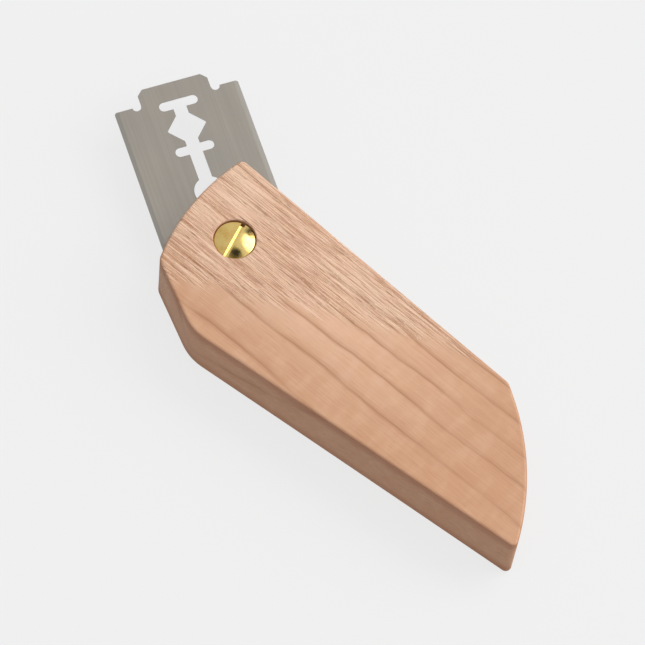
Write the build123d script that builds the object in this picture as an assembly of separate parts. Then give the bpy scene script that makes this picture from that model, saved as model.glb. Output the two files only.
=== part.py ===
from build123d import *
import os

# A bread lame: a double-edged razor blade held between the two glued halves of a flat
# cherry handle by one slotted clamp screw, which threads into a slotted barrel nut.
# With the screw loosened the blade swings on it, out of the handle's open long side and
# into a shallow pocket, where the handle covers both of its edges.
#
# Millimetres. Everything is drawn about the clamp screw's axis, with the handle's long
# direction along X, its back face at Z = 0 and the blade's free end towards +X, and then
# moved as one so that the origin is the middle of the whole tool's underside.

# ---- Handle ----
HANDLE_THICKNESS = 12.0
BLADE_LEVEL = HANDLE_THICKNESS / 2
EDGE_ROUND = 0.5
# Corners of the outline, before they are rounded, and a point in the middle of each curve.
FRONT_CORNER = (8.3, -12.4)
BACK_CORNER = (-50.55, -8.65)
END_MIDDLE = (-61.1, 0.3)
TIP = (-69.25, 13.85)
LOWER_MIDDLE = (-32.0, 15.85)
HEEL = (-4.8, 17.4)
CHEEK = (7.25, 11.0)
FRONT_MIDDLE = (9.6, -1.0)
FRONT_CORNER_ROUND = 1.1
BACK_CORNER_ROUND = 2.0
TIP_ROUND = 0.95
HEEL_ROUND = 9.3
CHEEK_ROUND = 2.5

# ---- Razor blade, the standard double-edged size ----
BLADE_LENGTH = 42.9
BLADE_WIDTH = 22.0
BLADE_THICKNESS = 0.1
CUTTING_LENGTH = 37.0
SHOULDER_ROUND = 0.5
TAB_WIDTH = 12.4
TAB_CORNER = 1.0
NOTCH_RADIUS = 0.75
NOTCH_OFFSET = 7.0
GROUND_WIDTH = 0.8
# Its cut-out: one long slot with a round hole in the middle, and towards each end a
# crossbar, a diamond and an end bar.
SLOT_WIDTH = 2.3
CENTRE_HOLE_RADIUS = 2.65
BAR_LENGTH = 6.8
BAR_WIDTH = 1.7
CROSSBAR_OFFSET = 8.2
END_BAR_OFFSET = 17.2
DIAMOND_OFFSET = 12.5
DIAMOND_HALF_WIDTH = 3.47
DIAMOND_HALF_LENGTH = 3.74
DIAMOND_ROUND = 0.35
# The way the blade points, from +X, in its working place and when it is put away.
WORKING_ANGLE = -32.8
STOWED_ANGLE = -183.8

# ---- Pocket for the blade ----
POCKET_HEIGHT = 0.2
POCKET_FLOOR_OFFSET = 11.4
POCKET_NEAR_RADIUS = 12.65
POCKET_FAR_RADIUS = 35.2

# ---- Clamp screw and barrel nut, M4 x 0.7 ----
HEAD_DIAMETER = 7.0
RECESS_DIAMETER = 7.15
RECESS_DEPTH = 2.2
RECESS_CHAMFER = 0.15
HEAD_RIM_HEIGHT = 1.75
HEAD_DOME_HEIGHT = 0.4
HEAD_EDGE_ROUND = 0.2
DRIVER_SLOT_WIDTH = 0.75
DRIVER_SLOT_DEPTH = 1.15
SCREW_SLOT_ANGLE = 102.2
NUT_SLOT_ANGLE = 35.0
BARREL_DIAMETER = 4.9
BARREL_BORE = 5.0
BARREL_GAP = 0.2
THREAD_HOLE_DIAMETER = 4.0
THREAD_DIAMETER = 3.9
NUT_FLOOR = 1.3
SCREW_END_GAP = 0.6
END_CHAMFER = 0.25

SEAT_SPAN = HANDLE_THICKNESS - 2 * RECESS_DEPTH
BARREL_LENGTH = SEAT_SPAN - BARREL_GAP
THREAD_DEPTH = BARREL_LENGTH - NUT_FLOOR
SCREW_LENGTH = SEAT_SPAN - NUT_FLOOR - SCREW_END_GAP


def rounded(face, corner, radius):
    """The face with the corner nearest to a point rounded."""
    return fillet(face.vertices().sort_by_distance(Vector(*corner))[0], radius)


def handle_outline():
    """A long tapering shape: straight upper side, curved end, bowed lower side, slanting cheek."""
    edges = [
        Line(FRONT_CORNER, BACK_CORNER),
        ThreePointArc(BACK_CORNER, END_MIDDLE, TIP),
        ThreePointArc(TIP, LOWER_MIDDLE, HEEL),
        Line(HEEL, CHEEK),
        ThreePointArc(CHEEK, FRONT_MIDDLE, FRONT_CORNER),
    ]
    face = make_face(Wire(edges))
    for corner, radius in [
        (FRONT_CORNER, FRONT_CORNER_ROUND),
        (BACK_CORNER, BACK_CORNER_ROUND),
        (TIP, TIP_ROUND),
        (HEEL, HEEL_ROUND),
        (CHEEK, CHEEK_ROUND),
    ]:
        face = rounded(face, corner, radius)
    return face


def pocket():
    """Room for the blade at every angle, open at the front and along the upper side."""
    reach = 2 * POCKET_FAR_RADIUS
    upper_side = Pos(0, POCKET_FLOOR_OFFSET - reach / 2) * Rectangle(reach, reach)
    swing = Circle(POCKET_FAR_RADIUS) & Rot(0, 0, STOWED_ANGLE + 180) * upper_side
    room = swing + Circle(POCKET_NEAR_RADIUS)
    return Pos(0, 0, BLADE_LEVEL - POCKET_HEIGHT / 2) * extrude(room, POCKET_HEIGHT)


def recess():
    """The counterbore for a screw head, sunk down from Z = 0."""
    hole = Pos(0, 0, -RECESS_DEPTH / 2) * Cylinder(RECESS_DIAMETER / 2, RECESS_DEPTH)
    mouth_radius = RECESS_DIAMETER / 2 + RECESS_CHAMFER
    mouth = Pos(0, 0, -RECESS_CHAMFER / 2) * Cone(RECESS_DIAMETER / 2, mouth_radius, RECESS_CHAMFER)
    return hole + mouth


def handle_half(outer_face_index):
    """One half of the handle: -1 is the front half, 0 the back half."""
    is_front = outer_face_index == -1
    base = BLADE_LEVEL if is_front else 0
    half = Pos(0, 0, base) * extrude(handle_outline(), HANDLE_THICKNESS / 2)
    outer_edges = half.faces().sort_by(Axis.Z)[outer_face_index].edges()
    half = fillet(outer_edges, EDGE_ROUND)
    bore = Pos(0, 0, BLADE_LEVEL) * Cylinder(BARREL_BORE / 2, HANDLE_THICKNESS)
    if is_front:
        counterbore = Pos(0, 0, HANDLE_THICKNESS) * recess()
    else:
        counterbore = Rot(180, 0, 0) * recess()
    return half - pocket() - bore - counterbore


def blade_cut_out():
    """The slotted opening of the razor blade, alike towards both ends."""
    diamond = Polygon(
        (DIAMOND_HALF_WIDTH, 0), (0, DIAMOND_HALF_LENGTH), (-DIAMOND_HALF_WIDTH, 0), (0, -DIAMOND_HALF_LENGTH)
    )
    diamond = fillet(diamond.vertices(), DIAMOND_ROUND)
    bar = SlotOverall(BAR_LENGTH, BAR_WIDTH)
    opening = Rectangle(SLOT_WIDTH, 2 * END_BAR_OFFSET) + Circle(CENTRE_HOLE_RADIUS)
    for end in (1, -1):
        opening += Pos(0, end * DIAMOND_OFFSET) * diamond
        opening += Pos(0, end * CROSSBAR_OFFSET) * bar
        opening += Pos(0, end * END_BAR_OFFSET) * bar
    return opening


def razor_blade():
    """The blade with its two ground edges, about its own centre, long along Y."""
    body = fillet(Rectangle(BLADE_WIDTH, CUTTING_LENGTH).vertices(), SHOULDER_ROUND)
    tab = chamfer(Rectangle(TAB_WIDTH, BLADE_LENGTH).vertices(), TAB_CORNER)
    outline = body + tab
    for side in (1, -1):
        for end in (1, -1):
            outline -= Pos(side * NOTCH_OFFSET, end * CUTTING_LENGTH / 2) * Circle(NOTCH_RADIUS)
    outline -= blade_cut_out()
    sheet = extrude(outline, BLADE_THICKNESS / 2, both=True)
    flat_half = BLADE_WIDTH / 2 - GROUND_WIDTH
    section = Plane.XZ * Polygon(
        (BLADE_WIDTH / 2, 0),
        (flat_half, BLADE_THICKNESS / 2),
        (-flat_half, BLADE_THICKNESS / 2),
        (-BLADE_WIDTH / 2, 0),
        (-flat_half, -BLADE_THICKNESS / 2),
        (flat_half, -BLADE_THICKNESS / 2),
    )
    return sheet & extrude(section, BLADE_LENGTH, both=True)


def placed_blade():
    """The blade turned about the screw, which passes through the diamond it is held by."""
    about_screw = Pos(0, DIAMOND_OFFSET) * razor_blade()
    return Pos(0, 0, BLADE_LEVEL) * Rot(0, 0, WORKING_ANGLE - 90) * about_screw


def slotted_head(slot_angle):
    """A low domed head standing on Z = 0, with a driver slot."""
    rim = HEAD_DIAMETER / 2
    top = HEAD_RIM_HEIGHT + HEAD_DOME_HEIGHT
    rim_corner = (rim, HEAD_RIM_HEIGHT)
    edges = [
        Line((0, 0), (rim, 0)),
        Line((rim, 0), rim_corner),
        TangentArc((0, top), rim_corner, tangent=(1, 0)),
        Line((0, top), (0, 0)),
    ]
    profile = rounded(make_face(Wire(edges)), rim_corner, HEAD_EDGE_ROUND)
    head = revolve(Plane.XZ * profile, Axis.Z)
    slot = Pos(0, 0, top - DRIVER_SLOT_DEPTH / 2) * Box(2 * rim, DRIVER_SLOT_WIDTH, DRIVER_SLOT_DEPTH)
    return head - Rot(0, 0, slot_angle) * slot


def clamp_screw():
    """The front screw: its head sits in the front recess, its thread points down."""
    shank = Pos(0, 0, -SCREW_LENGTH / 2) * Cylinder(THREAD_DIAMETER / 2, SCREW_LENGTH)
    shank = chamfer(shank.edges().sort_by(Axis.Z)[0], END_CHAMFER)
    return Pos(0, 0, HANDLE_THICKNESS - RECESS_DEPTH) * (slotted_head(SCREW_SLOT_ANGLE) + shank)


def barrel_nut():
    """The back nut: its head sits in the back recess, its tapped barrel points up."""
    barrel = Pos(0, 0, BARREL_LENGTH / 2) * Cylinder(BARREL_DIAMETER / 2, BARREL_LENGTH)
    barrel = chamfer(barrel.edges().sort_by(Axis.Z)[-1], END_CHAMFER)
    head = Rot(180, 0, 0) * slotted_head(NUT_SLOT_ANGLE)
    hole_middle = BARREL_LENGTH - THREAD_DEPTH / 2
    thread_hole = Pos(0, 0, hole_middle) * Cylinder(THREAD_HOLE_DIAMETER / 2, THREAD_DEPTH)
    return Pos(0, 0, RECESS_DEPTH) * (head + barrel - thread_hole)


parts = {
    "handle_front_half": handle_half(-1),
    "handle_back_half": handle_half(0),
    "razor_blade": placed_blade(),
    "clamp_screw": clamp_screw(),
    "barrel_nut": barrel_nut(),
}

whole = Compound([part.solid() for part in parts.values()]).bounding_box()
middle = whole.center()
print("clamp screw axis at", round(-middle.X, 4), round(-middle.Y, 4))
print("whole tool", whole.size)

os.makedirs("parts", exist_ok=True)
for name, part in parts.items():
    solid = Pos(-middle.X, -middle.Y, 0) * part.solid()
    solid.label = name
    export_step(solid, f"parts/{name}.step")
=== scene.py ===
import math

import bpy
from mathutils import Matrix, Vector


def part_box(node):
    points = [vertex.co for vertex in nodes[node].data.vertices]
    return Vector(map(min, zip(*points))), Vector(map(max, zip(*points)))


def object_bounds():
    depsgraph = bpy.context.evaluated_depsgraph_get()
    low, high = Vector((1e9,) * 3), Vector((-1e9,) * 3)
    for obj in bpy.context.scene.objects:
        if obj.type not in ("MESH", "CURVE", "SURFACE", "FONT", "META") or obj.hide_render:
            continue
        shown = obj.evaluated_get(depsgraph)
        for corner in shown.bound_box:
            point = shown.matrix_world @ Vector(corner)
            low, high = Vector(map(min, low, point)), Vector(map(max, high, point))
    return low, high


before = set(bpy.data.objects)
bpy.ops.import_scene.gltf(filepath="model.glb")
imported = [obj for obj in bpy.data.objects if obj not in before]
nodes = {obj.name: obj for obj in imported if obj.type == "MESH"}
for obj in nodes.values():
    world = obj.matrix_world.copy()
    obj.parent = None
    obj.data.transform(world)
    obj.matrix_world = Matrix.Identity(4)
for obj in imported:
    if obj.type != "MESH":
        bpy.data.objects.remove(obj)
cad_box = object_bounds()

MM = 0.001


# ---- Places, all from the frame ----

def middle(box):
    """The middle of a box given by its lowest and highest corners."""
    return (Vector(box[0]) + Vector(box[1])) / 2


# The middle of the screw's box, which is on the screw's axis.
screw_axis = middle(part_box("clamp_screw"))
blade_middle = middle(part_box("razor_blade"))
tool_middle = middle(cad_box)
# The blade lies along the line from the screw to its middle.
blade_angle = math.atan2(blade_middle.y - screw_axis.y, blade_middle.x - screw_axis.x)


# ---- Camera ----
# It looks down on the tool from beyond the handle's bowed side, a little rolled.

CAMERA_AZIMUTH = math.radians(120.86)
CAMERA_ELEVATION = math.radians(65.35)
CAMERA_ROLL = math.radians(8.25)
CAMERA_DISTANCE = 0.6630
CAMERA_LENS = 223.26
# Where the camera looks, measured from the middle of the tool's box.
CAMERA_AIM = Vector((-0.66, 4.50, 0.0)) * MM


def direction(azimuth, elevation):
    """The unit vector at an azimuth, counted from +X, and an elevation, in radians."""
    level = math.cos(elevation)
    return Vector((level * math.cos(azimuth), level * math.sin(azimuth), math.sin(elevation)))


def make_camera():
    camera_data = bpy.data.cameras.new("camera")
    camera_data.lens = CAMERA_LENS
    camera_data.sensor_width = 36.0
    camera_data.clip_start = 0.01
    camera = bpy.data.objects.new("camera", camera_data)
    bpy.context.scene.collection.objects.link(camera)
    back = direction(CAMERA_AZIMUTH, CAMERA_ELEVATION)
    level = (-back).to_track_quat("-Z", "Y").to_matrix()
    turned = level @ Matrix.Rotation(CAMERA_ROLL, 3, "Z")
    place = tool_middle + CAMERA_AIM + back * CAMERA_DISTANCE
    camera.matrix_world = Matrix.Translation(place) @ turned.to_4x4()
    bpy.context.scene.camera = camera


# ---- Node helpers ----

class Nodes:
    """A node tree that is built by calls, each returning the output to use next."""

    def __init__(self, tree):
        self.tree = tree
        tree.nodes.clear()

    def put(self, socket, value):
        if isinstance(value, bpy.types.NodeSocket):
            self.tree.links.new(value, socket)
        elif value is not None:
            socket.default_value = value

    def add(self, kind, inputs=(), **settings):
        """A node with its settings made, and its inputs given by name or place."""
        node = self.tree.nodes.new(kind)
        for name, value in settings.items():
            setattr(node, name, value)
        for key, value in dict(inputs).items():
            self.put(node.inputs[key], value)
        return node

    def math(self, operation, first, second=None, third=None):
        node = self.add("ShaderNodeMath", operation=operation)
        for socket, value in zip(node.inputs, (first, second, third)):
            self.put(socket, value)
        return node.outputs[0]

    def vector_math(self, operation, first, second):
        node = self.add("ShaderNodeVectorMath", {0: first, 1: second}, operation=operation)
        return node.outputs["Value" if operation == "DOT_PRODUCT" else "Vector"]

    def noise(self, vector, scale=1.0, detail=2.0, roughness=0.5):
        node = self.add(
            "ShaderNodeTexNoise",
            {"Vector": vector, "Scale": scale, "Detail": detail, "Roughness": roughness},
        )
        return node.outputs["Fac"]

    def smooth(self, value, low, high, to_low=0.0, to_high=1.0):
        """The value eased from one range into another."""
        node = self.add("ShaderNodeMapRange", {0: value}, interpolation_type="SMOOTHSTEP")
        for place, number in zip((1, 2, 3, 4), (low, high, to_low, to_high)):
            node.inputs[place].default_value = number
        return node.outputs[0]

    def stretch(self, vector, sizes):
        """The coordinates divided by a feature size along each axis."""
        return self.vector_math("DIVIDE", vector, sizes)

    def mix(self, factor, first, second, blend_type="MIX"):
        node = self.add("ShaderNodeMix", data_type="RGBA", blend_type=blend_type)
        self.put(node.inputs["Factor"], factor)
        self.put(node.inputs["A"], first)
        self.put(node.inputs["B"], second)
        return node.outputs["Result"]

    def ramp(self, value, stops, interpolation="EASE"):
        """A grey curve through (place, height) stops."""
        node = self.add("ShaderNodeValToRGB", {0: value})
        elements = node.color_ramp.elements
        node.color_ramp.interpolation = interpolation
        while len(elements) < len(stops):
            elements.new(0.5)
        for element, (place, height) in zip(elements, stops):
            element.position = place
            element.color = (height, height, height, 1.0)
        return node.outputs["Color"]


def srgb(red, green, blue):
    """A colour given as 0 to 255 screen values, made linear."""
    channels = [channel / 255 for channel in (red, green, blue)]
    linear = [c / 12.92 if c <= 0.04045 else ((c + 0.055) / 1.055) ** 2.4 for c in channels]
    return (*linear, 1.0)


def millimetres(nodes_here, origin, angle=0.0):
    """Object coordinates in millimetres, counted from a point and turned about Z."""
    place = nodes_here.add("ShaderNodeTexCoord").outputs["Object"]
    mapping = nodes_here.add("ShaderNodeMapping", {"Vector": place}, vector_type="TEXTURE")
    mapping.inputs["Location"].default_value = origin
    mapping.inputs["Rotation"].default_value = (0.0, 0.0, angle)
    mapping.inputs["Scale"].default_value = (MM, MM, MM)
    return mapping.outputs["Vector"]


def new_material(name):
    material = bpy.data.materials.new(name)
    material.use_nodes = True
    return material, Nodes(material.node_tree)


def finish_material(material, tree, shader):
    output = tree.add("ShaderNodeOutputMaterial", {"Surface": shader})
    output.is_active_output = True
    return material


# ---- Cherry wood ----

GRAIN_ANGLE = math.radians(-2.1)
TAN = srgb(216, 171, 139)
PALE_TAN = srgb(222, 186, 158)
PINK_TAN = srgb(223, 178, 153)
# The tan of the painted shade towards the handle's end and its bowed side.
PAINTED_SHADE_TAN = srgb(196, 148, 114)
FRESH_CUT = srgb(240, 208, 182)
LATE_WOOD = srgb(168, 118, 84)
# Darker grain and painted shade in the grooves.
GROOVE_GRAIN_AND_SHADE = srgb(166, 112, 82)
PORE_BROWN = srgb(128, 84, 60)
# Painted shade on the handle's sides.
SIDE_PAINTED_SHADE = srgb(180, 134, 106)
# Painted shade along the sides' edges.
EDGE_PAINTED_SHADE = srgb(150, 88, 56)
# Growth rings: how far they lean across the handle for each millimetre up, how many there are
# to a millimetre, how that falls off, and the count at the screw.
RING_LEAN = 0.28
RINGS_PER_MM = 0.2176
RING_WIDENING = -0.0025
RING_START = 10.2
# The darkness of a ring from one late-wood line to the next.
RING_STOPS = [(0.0, 0.95), (0.03, 0.42), (0.09, 0.06), (0.5, 0.0), (0.8, 0.1), (0.93, 0.36), (1.0, 0.95)]
# The edge of the torn wood: its slant, how ragged it is, and where it fades in.
TORN_SLANT = -1.92
TORN_RAGGEDNESS = 16.0
TORN_EDGE = (-25.0, -17.0)
# Where painted shade darkens the wood, along the handle and across it.
TIP_PAINTED_SHADE = (-16.0, -58.0)
BOWED_SIDE_PAINTED_SHADE = (1.0, 12.0)
# How upright a face's normal is, from a planed face to a sawn side.
SIDE_TILT = (0.85, 0.45)
# Where painted shade darkens a side towards its edges, from the middle of the handle's thickness.
EDGE_SHADE_BAND = (2.6, 5.2)
WOOD_RELIEF = 0.08 * MM


def cherry_material():
    """Bare planed cherry: growth lines along the handle, torn fibres round the screw."""
    material, tree = new_material("cherry")
    place = millimetres(tree, screw_axis, GRAIN_ANGLE)
    # The tool's mid-height, counted like the coordinates from the middle of the screw's box.
    mid_height = (tool_middle.z - screw_axis.z) / MM

    # Growth rings stand nearly upright in the board and wander a little along it.
    drift = tree.noise(tree.stretch(place, (34.0, 13.0, 13.0)), detail=1.0)
    waver = tree.noise(tree.stretch(place, (7.5, 5.0, 5.0)), detail=2.0)
    parts_of_place = tree.add("ShaderNodeSeparateXYZ", {0: place})
    along, across, up = parts_of_place.outputs
    across_face = tree.math("MULTIPLY_ADD", up, RING_LEAN, across)
    wandered = tree.math("MULTIPLY_ADD", tree.math("SUBTRACT", drift, 0.5), 3.2, across_face)
    wandered = tree.math("MULTIPLY_ADD", tree.math("SUBTRACT", waver, 0.5), 1.1, wandered)
    # Rings are wider towards the handle's bowed side.
    bend = tree.math("MULTIPLY", tree.math("MULTIPLY", wandered, wandered), RING_WIDENING)
    ring = tree.math("MULTIPLY_ADD", wandered, RINGS_PER_MM, bend)
    ring_phase = tree.math("FRACT", tree.math("ADD", ring, RING_START))
    line = tree.ramp(ring_phase, RING_STOPS)
    fading = tree.noise(tree.stretch(place, (13.0, 3.0, 3.0)), detail=2.0)
    line_strength = tree.smooth(fading, 0.3, 0.6, 0.4, 1.0)
    line = tree.math("MULTIPLY", line, line_strength)

    # Where the fibres are torn: the front of the handle, further back along its upper side.
    zone_edge = tree.math("MULTIPLY_ADD", across, TORN_SLANT, along)
    zone_noise = tree.noise(tree.stretch(place, (9.0, 2.2, 2.2)), detail=2.0)
    ragged = tree.math("SUBTRACT", zone_noise, 0.5)
    zone_edge = tree.math("MULTIPLY_ADD", ragged, TORN_RAGGEDNESS, zone_edge)
    torn = tree.smooth(zone_edge, *TORN_EDGE)

    # The sides are sawn across the rings, and coarser than the planed faces.
    facing = tree.add("ShaderNodeNewGeometry").outputs["Normal"]
    normal = tree.add("ShaderNodeSeparateXYZ", {0: facing})
    uprightness = tree.math("ABSOLUTE", normal.outputs[2])
    side = tree.smooth(uprightness, *SIDE_TILT)
    coarse = tree.math("MAXIMUM", torn, tree.math("MULTIPLY", side, 0.4))

    # Grooves keep to the grain; the torn ones are broken up by short flecks across them.
    groove = tree.noise(tree.stretch(place, (6.0, 0.13, 0.13)), detail=1.5, roughness=0.6)
    wide_groove = tree.noise(tree.stretch(place, (7.0, 0.6, 0.6)), detail=2.0)
    fleck = tree.noise(tree.stretch(place, (0.5, 0.2, 0.2)), detail=2.0, roughness=0.6)
    pore = tree.noise(tree.stretch(place, (3.4, 0.14, 0.14)), detail=1.0)
    tint = tree.noise(tree.stretch(place, (30.0, 7.0, 7.0)), detail=2.0)
    blotch = tree.noise(tree.stretch(place, (6.0, 3.5, 3.5)), detail=3.0)
    curl = tree.noise(tree.stretch(place, (2.4, 6.0, 6.0)), detail=2.0)

    colour = tree.mix(tree.smooth(tint, 0.32, 0.68), TAN, PALE_TAN)
    colour = tree.mix(tree.smooth(blotch, 0.35, 0.75, 0.0, 0.55), colour, PINK_TAN)
    # Painted shade: darker towards the handle's end and towards its bowed side.
    colour = tree.mix(tree.smooth(along, *TIP_PAINTED_SHADE, 0.0, 0.95), colour, PAINTED_SHADE_TAN)
    colour = tree.mix(tree.smooth(across, *BOWED_SIDE_PAINTED_SHADE, 0.0, 0.8), colour, PAINTED_SHADE_TAN)
    colour = tree.mix(tree.smooth(curl, 0.4, 0.7, 0.0, 0.1), colour, FRESH_CUT)
    colour = tree.mix(tree.math("MULTIPLY", line, 0.9), colour, LATE_WOOD)
    # The wide grooves darken, partly as the wood's darker grain and partly as painted shade in them.
    wide_depth = tree.smooth(coarse, 0.0, 1.0, 0.06, 0.2)
    wide_shade = tree.math("MULTIPLY", tree.smooth(wide_groove, 0.52, 0.36), wide_depth)
    colour = tree.mix(wide_shade, colour, GROOVE_GRAIN_AND_SHADE)
    ridge_strength = tree.smooth(torn, 0.0, 1.0, 0.05, 0.6)
    ridge = tree.math("MULTIPLY", tree.smooth(groove, 0.5, 0.62), ridge_strength)
    colour = tree.mix(ridge, colour, FRESH_CUT)
    pale_strength = tree.smooth(torn, 0.0, 1.0, 0.02, 0.4)
    pale = tree.math("MULTIPLY", tree.smooth(fleck, 0.52, 0.64), pale_strength)
    colour = tree.mix(pale, colour, FRESH_CUT)
    # The fine grooves darken too, partly as darker grain and partly as painted shade.
    dark_groove = tree.smooth(groove, 0.46, 0.38)
    groove_depth = tree.smooth(coarse, 0.0, 1.0, 0.07, 0.54)
    colour = tree.mix(tree.math("MULTIPLY", dark_groove, groove_depth), colour, GROOVE_GRAIN_AND_SHADE)
    pore_strength = tree.smooth(coarse, 0.0, 1.0, 0.14, 0.7)
    pore_mask = tree.math("MULTIPLY", tree.smooth(pore, 0.64, 0.7), pore_strength)
    colour = tree.mix(pore_mask, colour, PORE_BROWN)

    # Painted shade: the sides are darker too, most of all along their edges.
    from_middle = tree.math("ABSOLUTE", tree.math("SUBTRACT", up, mid_height))
    edge_shade = tree.math("MULTIPLY", side, tree.smooth(from_middle, *EDGE_SHADE_BAND))
    colour = tree.mix(tree.math("MULTIPLY", side, 0.24), colour, SIDE_PAINTED_SHADE)
    colour = tree.mix(tree.math("MULTIPLY", edge_shade, 0.42), colour, EDGE_PAINTED_SHADE)

    relief_strength = tree.smooth(torn, 0.0, 1.0, 0.1, 1.0)
    relief = tree.math("MULTIPLY", tree.smooth(groove, 0.36, 0.6), relief_strength)
    relief = tree.math("MULTIPLY_ADD", pale, 0.7, relief)
    relief = tree.math("MULTIPLY_ADD", line, -0.15, relief)
    bump = tree.add("ShaderNodeBump", {"Height": relief, "Strength": 0.5, "Distance": WOOD_RELIEF})
    roughness = tree.smooth(groove, 0.3, 0.7, 0.66, 0.5)
    shader = tree.add(
        "ShaderNodeBsdfPrincipled",
        {"Base Color": colour, "Roughness": roughness, "Normal": bump.outputs[0]},
    )
    shader.inputs["Specular IOR Level"].default_value = 0.3
    return finish_material(material, tree, shader.outputs[0])


# ---- Polished brass ----

BRASS = srgb(228, 199, 126)
TARNISHED_BRASS = srgb(216, 177, 102)
BRASS_RELIEF = 0.004 * MM


def brass_material():
    """Turned and polished brass with faint lathe rings, scratches and a slight tarnish."""
    material, tree = new_material("brass")
    place = millimetres(tree, screw_axis)
    parts_of_place = tree.add("ShaderNodeSeparateXYZ", {0: place})
    x, y, z = parts_of_place.outputs
    radius = tree.math("SQRT", tree.math("ADD", tree.math("MULTIPLY", x, x), tree.math("MULTIPLY", y, y)))
    radius_and_height = tree.add("ShaderNodeCombineXYZ", {0: radius, 2: z}).outputs[0]
    rings = tree.noise(radius_and_height, scale=9.0, detail=2.0)
    scratches = tree.noise(tree.stretch(place, (3.0, 0.05, 0.4)), detail=2.0)
    tarnish = tree.noise(place, scale=0.7, detail=4.0)
    colour = tree.mix(tree.smooth(tarnish, 0.35, 0.75), BRASS, TARNISHED_BRASS)
    relief = tree.math("MULTIPLY_ADD", tree.smooth(scratches, 0.6, 0.7), 0.5, rings)
    bump = tree.add("ShaderNodeBump", {"Height": relief, "Strength": 0.22, "Distance": BRASS_RELIEF})
    roughness = tree.smooth(tarnish, 0.3, 0.8, 0.08, 0.2)
    shader = tree.add(
        "ShaderNodeBsdfPrincipled",
        {"Base Color": colour, "Roughness": roughness, "Normal": bump.outputs[0]},
    )
    shader.inputs["Metallic"].default_value = 1.0
    return finish_material(material, tree, shader.outputs[0])


# ---- Blade steel ----

STEEL = srgb(151, 145, 137)
PALE_STEEL = srgb(158, 152, 143)
CLOUDED_STEEL = srgb(145, 141, 134)
GROUND_STEEL = srgb(150, 147, 141)
# Where the ground edge starts, in millimetres from the blade's middle line.
GROUND_START = (10.15, 10.3)
STEEL_RELIEF = 0.003 * MM


def steel_material():
    """Rolled strip steel, finely grained along the blade, with ground cutting edges."""
    material, tree = new_material("blade_steel")
    place = millimetres(tree, screw_axis, blade_angle)
    rolled = tree.noise(tree.stretch(place, (60.0, 0.5, 4.0)), detail=3.0, roughness=0.6)
    fine = tree.noise(tree.stretch(place, (9.0, 0.06, 4.0)), detail=2.0)
    cloud = tree.noise(tree.stretch(place, (14.0, 9.0, 9.0)), detail=2.0)
    parts_of_place = tree.add("ShaderNodeSeparateXYZ", {0: place})
    across = tree.math("ABSOLUTE", parts_of_place.outputs[1])
    ground = tree.smooth(across, *GROUND_START)
    colour = tree.mix(tree.smooth(rolled, 0.3, 0.7), STEEL, PALE_STEEL)
    colour = tree.mix(tree.smooth(cloud, 0.3, 0.75, 0.0, 0.5), colour, CLOUDED_STEEL)
    colour = tree.mix(tree.math("MULTIPLY", ground, 0.5), colour, GROUND_STEEL)
    relief = tree.math("MULTIPLY_ADD", fine, 0.6, rolled)
    bump = tree.add("ShaderNodeBump", {"Height": relief, "Strength": 0.18, "Distance": STEEL_RELIEF})
    roughness = tree.smooth(fine, 0.2, 0.8, 0.40, 0.50)
    shader = tree.add(
        "ShaderNodeBsdfPrincipled",
        {"Base Color": colour, "Roughness": roughness, "Normal": bump.outputs[0]},
    )
    shader.inputs["Metallic"].default_value = 1.0
    return finish_material(material, tree, shader.outputs[0])


# ---- Studio ----

FLOOR_SHADE = srgb(239, 239, 239)
FLOOR_GLOW = 0.88
# How bright the floor is to everything but the camera.
FLOOR_BOUNCE = srgb(196, 196, 196)
FLOOR_SIDE = 6.0
# The world's grey on its dim and its bright side, and where the bright side is: degrees
# towards the view's right and top, and the angles between which it fades.
DIM_SIDE = 0.50
BRIGHT_SIDE = 0.92
BRIGHT_PATCH = (60, 25, 20, 120)
# The same, with a level, for one soft box and two dark patches. Each was placed for
# what the screw's head mirrors.
SCREW_PATCHES = [
    (23, 27, 6, 17, 6.0),
    (2, 7, 5, 9, 0.03),
    (17, 39, 4, 9, 0.03),
]
KEY_SIDE = (55, 15)
KEY_DISTANCE = 0.8
KEY_SIZE = 0.5
KEY_POWER = 2.8


def make_floor():
    """A pale floor that is mostly its own light, so that the shadow on it stays faint."""
    mesh = bpy.data.meshes.new("floor")
    half = FLOOR_SIDE / 2
    level = cad_box[0][2]
    corners = [(-half, -half, level), (half, -half, level), (half, half, level), (-half, half, level)]
    mesh.from_pydata(corners, [], [(0, 1, 2, 3)])
    floor = bpy.data.objects.new("floor", mesh)
    bpy.context.scene.collection.objects.link(floor)
    material, tree = new_material("floor")
    is_camera = tree.add("ShaderNodeLightPath").outputs["Is Camera Ray"]
    shade = tree.mix(is_camera, FLOOR_BOUNCE, FLOOR_SHADE)
    glow = tree.add("ShaderNodeEmission", {"Color": shade, "Strength": 1.0})
    paper = tree.add("ShaderNodeBsdfDiffuse", {"Color": FLOOR_SHADE})
    mixed = tree.add("ShaderNodeMixShader", {0: FLOOR_GLOW, 1: paper.outputs[0], 2: glow.outputs[0]})
    finish_material(material, tree, mixed.outputs[0])
    mesh.materials.append(material)


def image_side(right, up):
    """The direction tilted from straight up by degrees towards the view's right and top."""
    away = CAMERA_AZIMUTH + math.pi
    to_right = CAMERA_AZIMUTH + math.pi / 2
    tilt = math.radians(math.hypot(right, up))
    turn = math.atan2(right, up)
    level = math.cos(turn) * direction(away, 0.0) + math.sin(turn) * direction(to_right, 0.0)
    return Vector((0.0, 0.0, math.cos(tilt))) + math.sin(tilt) * level


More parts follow.
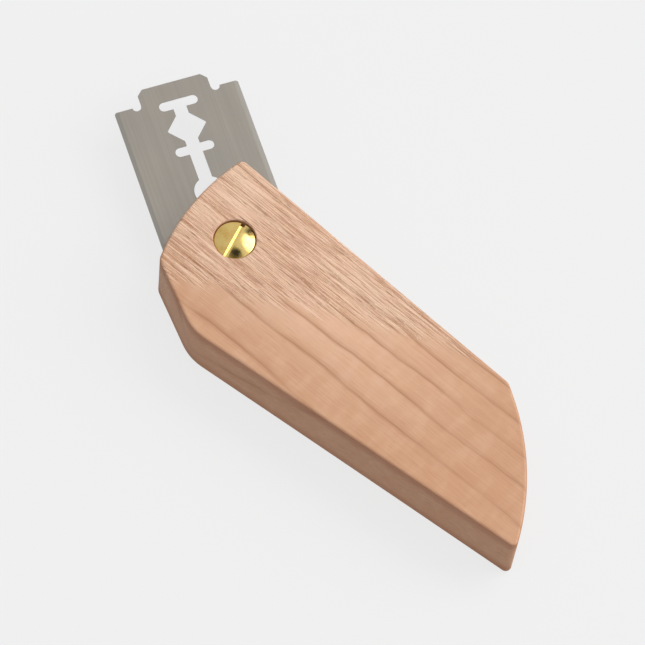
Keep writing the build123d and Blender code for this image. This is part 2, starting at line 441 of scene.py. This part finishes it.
def make_world():
    """A pale tent, brighter to the right, with patches for the screw's head to mirror."""
    world = bpy.data.worlds.new("world")
    bpy.context.scene.world = world
    world.use_nodes = True
    tree = Nodes(world.node_tree)
    looking = tree.add("ShaderNodeTexCoord").outputs["Generated"]

    def patch(right, up, inner, outer):
        """1 within the inner angle of a direction, fading to 0 at the outer angle."""
        closeness = tree.vector_math("DOT_PRODUCT", looking, tuple(image_side(right, up)))
        return tree.smooth(closeness, math.cos(math.radians(outer)), math.cos(math.radians(inner)))

    def grey(level):
        return (level, level, level, 1.0)

    light = tree.mix(patch(*BRIGHT_PATCH), grey(DIM_SIDE), grey(BRIGHT_SIDE))
    for right, up, inner, outer, level in SCREW_PATCHES:
        light = tree.mix(patch(right, up, inner, outer), light, grey(level))
    is_camera = tree.add("ShaderNodeLightPath").outputs["Is Camera Ray"]
    seen = tree.mix(is_camera, light, FLOOR_SHADE)
    background = tree.add("ShaderNodeBackground", {"Color": seen, "Strength": 1.0})
    output = tree.add("ShaderNodeOutputWorld", {"Surface": background.outputs[0]})
    output.is_active_output = True


def make_key_light():
    """A large soft area light from the view's right."""
    data = bpy.data.lights.new("key", "AREA")
    data.shape = "DISK"
    data.size = KEY_SIZE
    data.energy = KEY_POWER
    light = bpy.data.objects.new("key", data)
    bpy.context.scene.collection.objects.link(light)
    toward = image_side(*KEY_SIDE).normalized()
    place = tool_middle + toward * KEY_DISTANCE
    aim = (-toward).to_track_quat("-Z", "Y").to_matrix().to_4x4()
    light.matrix_world = Matrix.Translation(place) @ aim


# ---- Putting it together ----

def dress(node_name, material):
    """Gives a CAD node its material."""
    piece = nodes[node_name]
    piece.data.materials.clear()
    piece.data.materials.append(material)


make_camera()
cherry = cherry_material()
brass = brass_material()
steel = steel_material()
dress("handle_front_half", cherry)
dress("handle_back_half", cherry)
dress("clamp_screw", brass)
dress("barrel_nut", brass)
dress("razor_blade", steel)
make_floor()
make_world()
make_key_light()
bpy.context.scene.view_settings.view_transform = "Standard"
